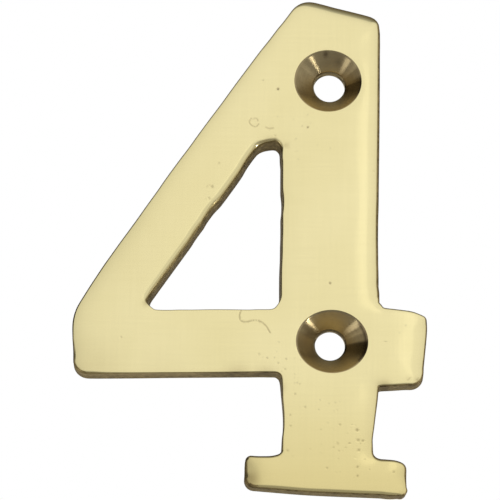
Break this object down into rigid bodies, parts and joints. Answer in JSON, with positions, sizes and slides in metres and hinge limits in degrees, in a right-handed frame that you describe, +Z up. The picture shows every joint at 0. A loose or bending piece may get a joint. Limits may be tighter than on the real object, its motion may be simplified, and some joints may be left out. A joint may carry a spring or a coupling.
{
  "type": "door number",
  "caption": "Cast brass door number four with a triangular opening, drafted sides and countersunk screw holes.",
  "frame": {"origin": "on the flat back, midway between the two screw holes", "axes": "+Z up through the screw holes, +X to the right as seen from the front, +Y into the door, so the polished face looks towards -Y"},
  "size_m": [0.0523, 0.004, 0.0759],
  "materials": {
    "brass": "polished front, as-cast sides"
  },
  "bodies": {
    "root": {"number_four": "brass"}
  },
  "joints": []
}
